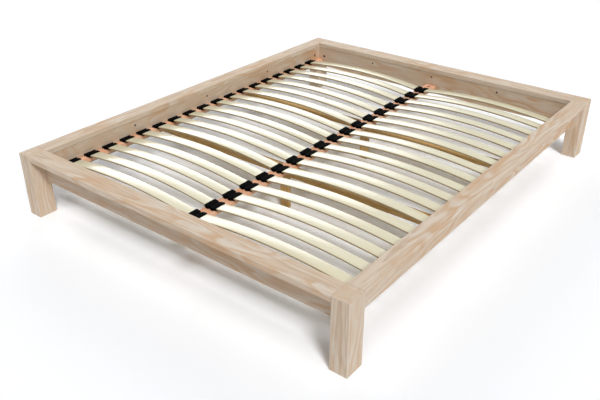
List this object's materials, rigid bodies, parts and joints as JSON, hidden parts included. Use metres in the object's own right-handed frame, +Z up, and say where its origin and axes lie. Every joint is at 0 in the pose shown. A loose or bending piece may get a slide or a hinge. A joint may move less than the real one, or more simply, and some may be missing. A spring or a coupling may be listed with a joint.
{
  "type": "low slatted double bed frame",
  "caption": "Low wooden bed frame with square corner legs, overhanging flat top boards, and bowed slats in moulded holders on a centre and two side longerons.",
  "frame": {"origin": "on the floor under the middle of the frame", "axes": "+Z up; X across the bed, +Y along the bed towards the head end"},
  "size_m": [1.746, 2.174, 0.302],
  "materials": {
    "frame_wood": "pale whitewashed pine, matt",
    "slat_laminate": "laminated birch veneer, clear satin lacquer",
    "longeron_wood": "reddish softwood, planed",
    "beam_wood": "golden brown softwood, planed",
    "holder_plastic": "moulded black, fine texture",
    "cam_metal": "dark zinc die casting",
    "tenon_wood": "beech"
  },
  "bodies": {
    "root": {"cam_locks": "cam_metal", "centre_leg_back": "beam_wood", "centre_leg_front": "beam_wood", "cross_member_back": "beam_wood", "cross_member_front": "beam_wood", "holders_centre": "holder_plastic", "holders_left": "holder_plastic", "holders_right": "holder_plastic", "leg_back_left": "frame_wood", "leg_back_right": "frame_wood", "leg_front_left": "frame_wood", "leg_front_right": "frame_wood", "longeron_centre": "longeron_wood", "longeron_left": "longeron_wood", "longeron_right": "longeron_wood", "loose_tenons": "tenon_wood", "rail_back": "frame_wood", "rail_front": "frame_wood", "rail_left": "frame_wood", "rail_right": "frame_wood", "slat_left_01": "slat_laminate", "slat_left_02": "slat_laminate", "slat_left_03": "slat_laminate", "slat_left_04": "slat_laminate", "slat_left_05": "slat_laminate", "slat_left_06": "slat_laminate", "slat_left_07": "slat_laminate", "slat_left_08": "slat_laminate", "slat_left_09": "slat_laminate", "slat_left_10": "slat_laminate", "slat_left_11": "slat_laminate", "slat_left_12": "slat_laminate", "slat_left_13": "slat_laminate", "slat_left_14": "slat_laminate", "slat_left_15": "slat_laminate", "slat_left_16": "slat_laminate", "slat_left_17": "slat_laminate", "slat_left_18": "slat_laminate", "slat_right_01": "slat_laminate", "slat_right_02": "slat_laminate", "slat_right_03": "slat_laminate", "slat_right_04": "slat_laminate", "slat_right_05": "slat_laminate", "slat_right_06": "slat_laminate", "slat_right_07": "slat_laminate", "slat_right_08": "slat_laminate", "slat_right_09": "slat_laminate", "slat_right_10": "slat_laminate", "slat_right_11": "slat_laminate", "slat_right_12": "slat_laminate", "slat_right_13": "slat_laminate", "slat_right_14": "slat_laminate", "slat_right_15": "slat_laminate", "slat_right_16": "slat_laminate", "slat_right_17": "slat_laminate", "slat_right_18": "slat_laminate", "top_board_back": "frame_wood", "top_board_front": "frame_wood", "top_board_left": "frame_wood", "top_board_right": "frame_wood"}
  },
  "joints": []
}
